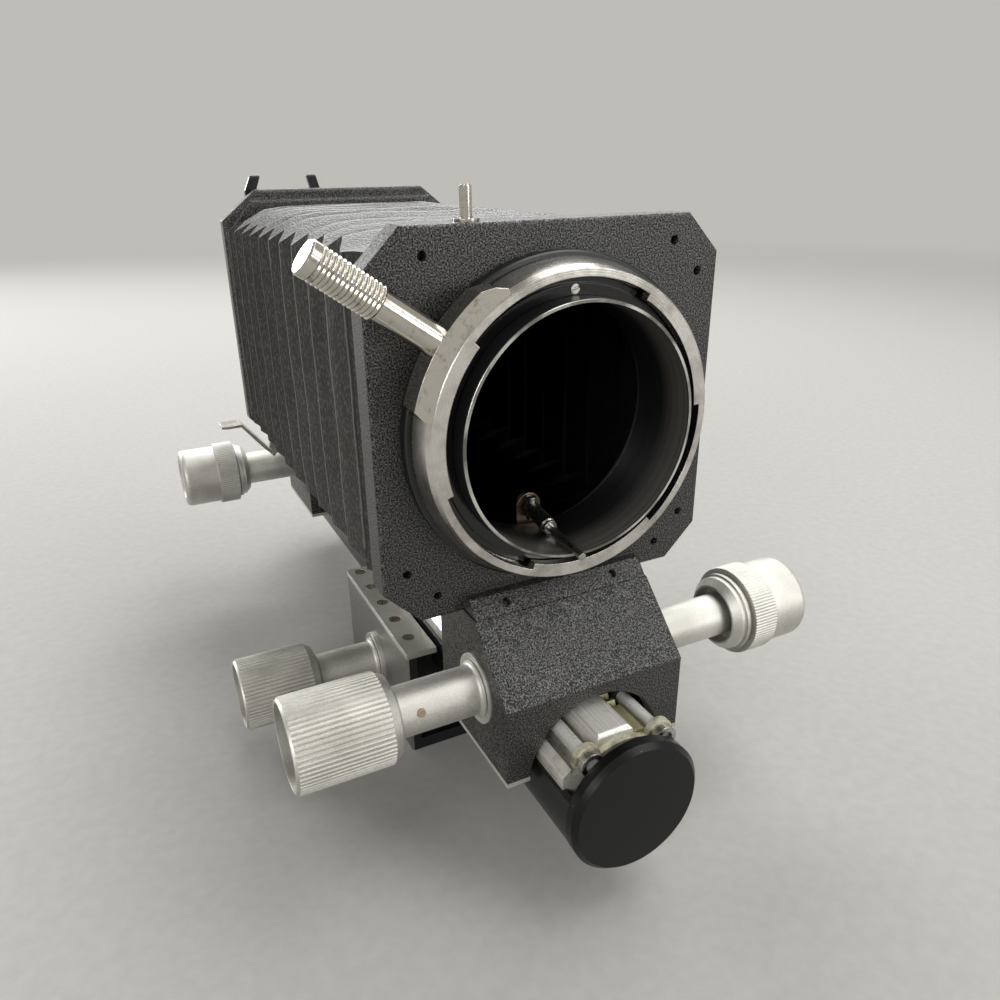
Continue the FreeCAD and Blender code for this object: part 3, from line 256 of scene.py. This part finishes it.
def throat_metal():
    """Turned and blackened brass, with a bare edge where cameras have rubbed it; painted shade makes it
    darkest deep in the tube.
    """
    made, tree, place = begin("throat_tube_black")
    centred = add(tree, "VectorMath", {"operation": "SUBTRACT"}, {0: place, 1: AXIS})
    along = add(tree, "SeparateXYZ", None, {"Vector": centred}).outputs["Y"]
    bare = add(tree, "Math", {"operation": "LESS_THAN"}, {0: along, 1: THROAT_LIP_Y})
    radius = from_axis(tree, centred)
    outside = add(tree, "Math", {"operation": "GREATER_THAN"}, {0: radius, 1: THROAT_OUTSIDE})
    lines = add(tree, "TexNoise", {"noise_dimensions": "1D"}, {"W": along, "Scale": per(0.45), "Detail": 2.0})
    worn = add(tree, "TexNoise", None, {"Vector": place, "Scale": per(9), "Detail": 3.0})
    dark = add(tree, "ValToRGB", {"stops": [(0.35, "#3a3835"), (0.65, "#524f4a")]}, {"Fac": lines})
    # painted shade: the wall fades to near black deeper into the tube
    depth = add(tree, "MapRange", None, {
        "Value": along, "From Min": THROAT_SHADE_FADE[0], "From Max": THROAT_SHADE_FADE[1],
    })
    unlit = add(tree, "Math", {"operation": "MAXIMUM"}, {0: depth, 1: outside})
    deep = add(tree, "MixRGB", None, {"Fac": unlit, "Color1": dark, "Color2": colour("#0b0c0e")})
    lip = add(tree, "ValToRGB", {"stops": [(0.4, "#77756f"), (0.6, "#d6d5d0")]}, {"Fac": worn})
    base = add(tree, "MixRGB", None, {"Fac": bare, "Color1": deep, "Color2": lip})
    rough = add(tree, "MapRange", None, {"Value": bare, "To Min": 0.42, "To Max": 0.25})
    close(tree, {"Base Color": base, "Metallic": bare, "Roughness": rough}, lines, 0.01)
    return made


def leathercloth():
    """Coated cloth on card: black, a little oily in its shine, with a fine slanting grain whose glints are
    painted highlights in the base colour.

    Each outer fold of the side walls has painted shade, a dark line, on both sides, and a pale line along its
    crest, which is a painted highlight and partly rubbed wear.
    """
    made, tree, place = begin("black_leathercloth")
    crest = add(tree, "Attribute", {"attribute_name": "fold"}).outputs["Fac"]
    slant = add(tree, "Mapping", None, {
        "Vector": place, "Rotation": (0.5, 0.0, 0.0), "Scale": (1.0, 1.0, 0.5),
    })
    grain = add(tree, "TexNoise", None, {"Vector": slant, "Scale": per(0.45), "Detail": 1.0})
    crepe = add(tree, "ValToRGB", {"stops": [(0.36, 0.0), (0.64, 1.0)]}, {"Fac": grain})
    patch = add(tree, "TexNoise", None, {"Vector": place, "Scale": per(8), "Detail": 4.0})
    coat = add(tree, "ValToRGB", {"stops": [(0.3, "#191918"), (0.7, "#282725")]}, {"Fac": patch})
    # painted highlights: pale glints on the tops of the grain
    shine = add(tree, "ValToRGB", {"stops": [(0.5, 0.0), (0.75, 0.35)]}, {"Fac": grain})
    cloth = add(tree, "MixRGB", None, {"Fac": shine, "Color1": coat, "Color2": colour("#7b7974")})
    # painted shade: a dark line on both sides of each outer fold
    dark = add(tree, "ValToRGB", {
        "stops": [(0.45, 0.0), (0.6, 0.9), (0.75, 0.9), (0.8, 0.0)],
    }, {"Fac": crest})
    painted_crease_shade = add(tree, "MixRGB", None, {"Fac": dark, "Color1": cloth, "Color2": colour("#080808")})
    # painted highlight, partly rubbed wear: a pale line along each fold's crest
    light = add(tree, "ValToRGB", {"stops": [(0.8, 0.0), (0.92, 0.9)]}, {"Fac": crest})
    base = add(tree, "MixRGB", None, {"Fac": light, "Color1": painted_crease_shade, "Color2": colour("#6d6c67")})
    rough = add(tree, "MapRange", None, {"Value": patch, "To Min": 0.3, "To Max": 0.44})
    close(tree, {"Base Color": base, "Roughness": rough, "IOR": 1.5}, crepe, 0.06)
    return made


MATERIALS = {
    "lacquer": wrinkle_lacquer(),
    "enamel": black_enamel("black_enamel", "#101112", 0.5, 0.33),
    "cap": black_enamel("black_cap_enamel", "#060707", 0.28, 0.3),
    "gloss": black_enamel("glossy_black_enamel", "#090a0a", 0.5, 0.13),
    "satin": blasted_metal("blasted_aluminium", "#d6d5cf", "#b8b7b0", 0.46, 0.6),
    "grey": blasted_metal("pale_anodised_aluminium", "#cfcfc6", "#b2b2a8", 0.4, 0.54, 0.6),
    "carriage": carriage_painted_shade(),
    "oxide": blasted_metal("black_oxide_steel", "#3c3c3d", "#2c2c2d", 0.26, 0.36),
    "ring": turned_chrome(),
    "chrome": polished_chrome(),
    "steel": drawn_metal("bright_drawn_steel", "#c9c8c2", "#a9a79f", "#8b8468", 0.26),
    "rods": drawn_metal("worn_steel_rod", "#efede6", "#cfccc3", "#8a7c68", 0.3, 0.4),
    "bed": drawn_metal("milled_rail_alloy", "#eceae2", "#c9c6bb", "#8d8168", 0.32, 0.4),
    "brass": drawn_metal("dull_yellow_brass", "#aaa480", "#8f8a68", "#675f44", 0.42, 0.7),
    "brown": drawn_metal("browned_brass_screws", "#9b917e", "#7f7564", "#5f5647", 0.42, 0.8),
    "copper": drawn_metal("copper_pin", "#b39d8b", "#95806f", "#6f5c4d", 0.35, 1.0, 0),
    "cream": cream_casting(),
    "throat": throat_metal(),
    "black": flocked_black("flocked_black", 0.75, 0.5),
    "cloth": leathercloth(),
    "lining": flocked_black("bellows_lining", 1.0, 0.0),
    "bronzed": blasted_metal("bronzed_brass", "#a08e7c", "#75675a", 0.28, 0.42),
}

FINISH = {
    "lacquer": ("camera_plate", "camera_housing", "lens_plate", "lens_housing"),
    "enamel": ("rail_tube", "mount_base", "camera_bellows_frame", "lens_bellows_frame"),
    "gloss": ("seat_flange",),
    "cap": ("front_cap", "rear_cap"),
    "satin": (
        "carriage_focus_knob", "camera_focus_knob", "lens_focus_knob",
        "carriage_lock_knob", "camera_lock_knob", "lens_lock_knob",
        "carriage_bushes", "camera_bushes", "lens_bushes",
    ),
    "grey": ("carriage_top_plates", "camera_housing_covers", "lens_housing_covers"),
    "carriage": ("carriage_body",),
    "oxide": ("lens_fork", "camera_plate_screws"),
    "rods": ("guide_rods",),
    "bronzed": ("lever_shield",),
    "ring": ("breech_ring", "lens_mount_ring"),
    "chrome": ("breech_lug", "breech_handle_rod", "breech_handle_grip", "latch_pin", "latch_washer"),
    "steel": (
        "mount_screws", "lens_standard_screws", "cap_grub_screws",
        "carriage_drive_shaft", "camera_drive_shaft", "lens_drive_shaft", "latch_spring",
        "rod_cups_and_screws", "aperture_lever", "stop_down_lever",
    ),
    "bed": ("rail_bed",),
    "brass": ("standard_rack", "carriage_rack", "tripod_bush"),
    "brown": ("carriage_screws",),
    "copper": ("camera_cross_pin",),
    "cream": ("rod_retainers",),
    "throat": ("throat_tube",),
    "black": ("mount_retaining_ring", "carriage_guide", "camera_runner", "lens_runner"),
}
for finish, members in FINISH.items():
    for name in members:
        mesh = nodes[name].data
        mesh.materials.clear()
        mesh.materials.append(MATERIALS[finish])


# ---------------------------------------------------------------- pleated bellows
# Lengths are in millimetres. Heights and widths are measured from the optical axis, and places along it
# from the camera plate's front face.
PLEATS = 11
SPLIT_TURN = 8              # walls, counted from the camera's end, that make the camera's half of the cloth
BELLOWS_ENDS = (7.5, 125.3)
BELLOWS_END_HALF = 29.8     # half the square at both ends
SIDE_RIDGE = (34.0, 36.0)   # at the camera's and the lens's end
SIDE_VALLEY = 31.5
TOP_RIDGE = 34.0            # top and bottom walls, in the middle of their width
TOP_VALLEY = 31.5
CORNER_DROP = 3.2           # how far the folds of the top and bottom fall away at their ends
CORNER_FROM = 0.7           # and the share of the half width at which that starts
PLEAT_SPREAD = 0.24         # how much wider the walls are near the camera than near the lens
PLEAT_SHIFT = 0.4           # extra width of the first wall, as a share of a wall
FOLD_ROUNDING = 0.3         # 0 for sharp folds and flat walls, 1 for soft waves
SAG = 1.8                   # how far the bottom hangs down in the middle of the length
FULLNESS = 0.3              # how far a ridge bows outwards between the corners
UNEVENNESS = 0.3            # how far the walls stray in and out
WANDER = 0.5                # how far the folds stray along the axis
CREST_FROM = 0.85           # height on a side wall, as a share, from which the fold attribute rises to 1
SIDE_CUTS = 11              # divisions of each side of the square
WALL_STOPS = (0.1, 0.3, 0.5, 0.7, 0.9, 1.0)     # rings between two folds, closer together at the folds
CLOTH_THICKNESS = 0.5
SHARP_FROM = math.radians(50.0)                 # edges that turn further stay sharp


def pleat_section(turn):
    """The section after that many walls.

    Gives its place along the axis, half width, top, bottom, corner drop, and how near a side ridge it is.
    """
    count = 2 * PLEATS
    t = turn / count
    t += PLEAT_SHIFT * (1 - t) / count * min(1.0, turn)
    start, end = BELLOWS_ENDS
    along = start + (end - start) * (t + PLEAT_SPREAD * t * (1 - t))
    ridge = SIDE_RIDGE[0] + (SIDE_RIDGE[1] - SIDE_RIDGE[0]) * t ** 2
    hang = SAG * math.sin(math.pi * t) ** 2
    wave = 1 - 2 * abs((turn / 2) % 1 - 0.5)
    wave = (1 - FOLD_ROUNDING) * wave + FOLD_ROUNDING * wave * wave * (3 - 2 * wave)
    fade = min(1.0, turn, count - turn)
    wide = BELLOWS_END_HALF + (SIDE_VALLEY + (ridge - SIDE_VALLEY) * wave - BELLOWS_END_HALF) * fade
    high = BELLOWS_END_HALF + (TOP_RIDGE - (TOP_RIDGE - TOP_VALLEY) * wave - BELLOWS_END_HALF) * fade
    drop = CORNER_DROP * (1 - (1 - t) ** 3) * fade
    return along, wide, high, high + hang * fade, drop, wave


def stray(x, y, z):
    """Smooth unevenness of the cloth, the same on each run."""
    return noise.noise(Vector((x, y, z)))


def bellows_part(name, first, last):
    """The walls from one fold to another, drawn out ring by ring from a square."""
    bm = bmesh.new()
    fold = bm.verts.layers.float.new("fold")
    bmesh.ops.create_circle(bm, segments=4, radius=math.sqrt(2), cap_ends=False)
    bmesh.ops.rotate(bm, verts=bm.verts, matrix=Matrix.Rotation(math.pi / 4, 3, "Z"))
    bmesh.ops.rotate(bm, verts=bm.verts, matrix=Matrix.Rotation(math.pi / 2, 3, "X"))
    bmesh.ops.subdivide_edges(bm, edges=bm.edges, cuts=SIDE_CUTS)
    square = [v.co.copy() for v in bm.verts]
    ring = list(bm.verts)
    edges = list(bm.edges)

    def settle(ring, turn):
        """Moves a ring of points to its place on the pleats."""
        along, wide, top, bottom, drop, wave = pleat_section(turn)
        for v, unit in zip(ring, square):
            ending = max(0.0, (abs(unit.x) - CORNER_FROM) / (1 - CORNER_FROM))
            high = (top if unit.z > 0 else bottom) - drop * ending * ending
            spot = Vector((unit.x * wide, along, unit.z * high))
            side = abs(unit.x) > abs(unit.z)
            ridge = wave if side else 1 - wave
            spread = abs(unit.z) if side else abs(unit.x)
            # the cloth is a little full: ridges bow outwards between the corners, and no two folds match
            free = 1 - spread ** 6
            drift = stray(unit.x * 2.1, turn * 1.7, unit.z * 2.1) * UNEVENNESS
            push = FULLNESS * (1 - spread ** 4) * ridge + drift * free
            if side:
                spot.x += math.copysign(push, unit.x)
            else:
                spot.z += math.copysign(push, unit.z)
            spot.y += stray(unit.x * 1.3 + 7, turn * 0.9, unit.z * 1.3) * WANDER * free
            v.co = AXIS + spot * MM
            v[fold] = max(0.0, ridge - CREST_FROM) / (1 - CREST_FROM) if side else 0.0

    settle(ring, first)
    for turn in (whole + part for whole in range(first, last) for part in WALL_STOPS):
        out = bmesh.ops.extrude_edge_only(bm, edges=edges)["geom"]
        fresh = [g for g in out if isinstance(g, bmesh.types.BMVert)]
        edges = [g for g in out if isinstance(g, bmesh.types.BMEdge) and all(v in fresh for v in g.verts)]
        after = {}
        for v in fresh:
            for e in v.link_edges:
                other = e.other_vert(v)
                if other in ring:
                    after[other] = v
        ring = [after[v] for v in ring]
        settle(ring, turn)
    bmesh.ops.recalc_face_normals(bm, faces=bm.faces)
    bmesh.ops.solidify(bm, geom=bm.faces[:], thickness=CLOTH_THICKNESS * MM)
    bmesh.ops.recalc_face_normals(bm, faces=bm.faces)
    for edge in bm.edges:
        edge.smooth = edge.calc_face_angle(0.0) < SHARP_FROM
    mesh = bpy.data.meshes.new(name)
    bm.to_mesh(mesh)
    bm.free()
    mesh.materials.append(MATERIALS["cloth"])
    mesh.materials.append(MATERIALS["lining"])
    for polygon in mesh.polygons:
        polygon.use_smooth = True
        outwards = (polygon.center - AXIS) * Vector((1, 0, 1))
        polygon.material_index = 0 if polygon.normal.dot(outwards) > 0 else 1
    made = bpy.data.objects.new(name, mesh)
    bpy.context.scene.collection.objects.link(made)
    return made


split_y = AXIS.y + pleat_section(SPLIT_TURN)[0] * MM
for name, first, last, node_name, standard, end in (
    ("bellows_camera_cloth", 0, SPLIT_TURN, "bellows_camera_part", "camera_standard", BELLOWS_ENDS[0]),
    ("bellows_lens_cloth", SPLIT_TURN, 2 * PLEATS, "bellows_lens_part", "lens_standard", BELLOWS_ENDS[1]),
):
    cloth = bellows_part(name, first, last)
    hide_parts(node_name)
    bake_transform(cloth)


# ---------------------------------------------------------------- stage, light and camera
BACKDROP = "#bfbdb7"
FLOOR_HALF = 6.0            # metres
FADE = (0.45, 1.5)          # metres from the object over which the floor passes into the backdrop
AIM = Vector((0.0, 0.0, 0.08))
LAMPS = (                   # name, place and size in metres, watts
    ("overhead", (0.40, -0.05, 1.05), (1.0, 0.6), 6.5),
    ("left_fill", (-0.85, -0.75, 0.5), (0.5, 0.4), 5.0),
    ("rear_left", (-0.55, 1.25, 0.45), (0.6, 0.4), 12.0),
    ("rear_top", (0.35, 0.85, 0.85), (0.9, 0.5), 9.0),
    ("front_right", (0.62, -0.75, 0.8), (0.6, 0.7), 3.0),
    ("front_low", (0.72, -1.05, 0.25), (0.5, 0.3), 3.0),
)
CAMERA_PLACE = (-0.07441, -0.17998, 0.13702)        # metres
CAMERA_TURN = (67.1375, 0.6787, -26.8047)           # degrees about X, Y and Z
FOCAL_LENGTH = 28.87                                # millimetres, on a sensor 36 mm wide


def looked_at(tree):
    """1 for rays that show the floor or the backdrop: straight, mirrored or through something clear."""
    path = add(tree, "LightPath").outputs
    seen = add(tree, "Math", {"operation": "MAXIMUM"}, {0: path["Is Camera Ray"], 1: path["Is Glossy Ray"]})
    return add(tree, "Math", {"operation": "MAXIMUM"}, {0: seen, 1: path["Is Transmission Ray"]})


def pale_paper():
    """Matt paper that catches the object's shadow, and passes into the backdrop's own colour far out."""
    made, tree, place = begin("pale_floor")
    fleck = add(tree, "TexNoise", None, {"Vector": place, "Scale": per(3), "Detail": 2.0})
    base = add(tree, "ValToRGB", {"stops": [(0.3, "#adaba6"), (0.7, "#b3b1ac")]}, {"Fac": fleck})
    plain = add(tree, "BsdfPrincipled", None, {
        "Base Color": base, "Roughness": 0.8, "Specular IOR Level": 0.1,
    })
    away = add(tree, "VectorMath", {"operation": "LENGTH"}, {0: place})
    far = add(tree, "MapRange", {"interpolation_type": "SMOOTHSTEP"}, {
        "Value": away.outputs["Value"], "From Min": FADE[0], "From Max": FADE[1],
    })
    share = add(tree, "Math", {"operation": "MULTIPLY"}, {0: far, 1: looked_at(tree)})
    glow = add(tree, "Emission", None, {"Color": colour(BACKDROP), "Strength": 1.0})
    both = add(tree, "MixShader", None, {0: share, 1: plain, 2: glow})
    add(tree, "OutputMaterial", None, {"Surface": both})
    return made


def lay_floor():
    bm = bmesh.new()
    bmesh.ops.create_grid(bm, x_segments=1, y_segments=1, size=FLOOR_HALF)
    mesh = bpy.data.meshes.new("floor")
    bm.to_mesh(mesh)
    bm.free()
    mesh.materials.append(pale_paper())
    floor = bpy.data.objects.new("floor", mesh)
    bpy.context.scene.collection.objects.link(floor)


def hang_backdrop():
    """The backdrop's colour where it is looked at, and a dim cool fill for all other rays."""
    world = bpy.data.worlds.new("studio")
    bpy.context.scene.world = world
    world.use_nodes = True
    tree = world.node_tree
    tree.nodes.clear()
    back = add(tree, "Background", None, {"Color": colour(BACKDROP), "Strength": 1.0})
    fill = add(tree, "Background", None, {"Color": colour("#c9ccd0"), "Strength": 0.4})
    both = add(tree, "MixShader", None, {0: looked_at(tree), 1: fill, 2: back})
    add(tree, "OutputWorld", None, {"Surface": both})


def set_lamps():
    for name, place, size, watts in LAMPS:
        lamp = bpy.data.lights.new(name, "AREA")
        lamp.shape = "RECTANGLE"
        lamp.size, lamp.size_y = size
        lamp.energy = watts
        stand = bpy.data.objects.new(name, lamp)
        stand.location = place
        stand.rotation_euler = (AIM - Vector(place)).to_track_quat("-Z", "Y").to_euler()
        bpy.context.scene.collection.objects.link(stand)


def set_camera():
    lens = bpy.data.cameras.new("camera")
    lens.sensor_width = 36.0
    lens.lens = FOCAL_LENGTH
    lens.clip_start = 0.005
    camera = bpy.data.objects.new("camera", lens)
    camera.location = CAMERA_PLACE
    camera.rotation_euler = Euler([math.radians(a) for a in CAMERA_TURN])
    bpy.context.scene.collection.objects.link(camera)
    bpy.context.scene.camera = camera
    bpy.context.scene.view_settings.view_transform = "Standard"


lay_floor()
hang_backdrop()
set_lamps()
set_camera()
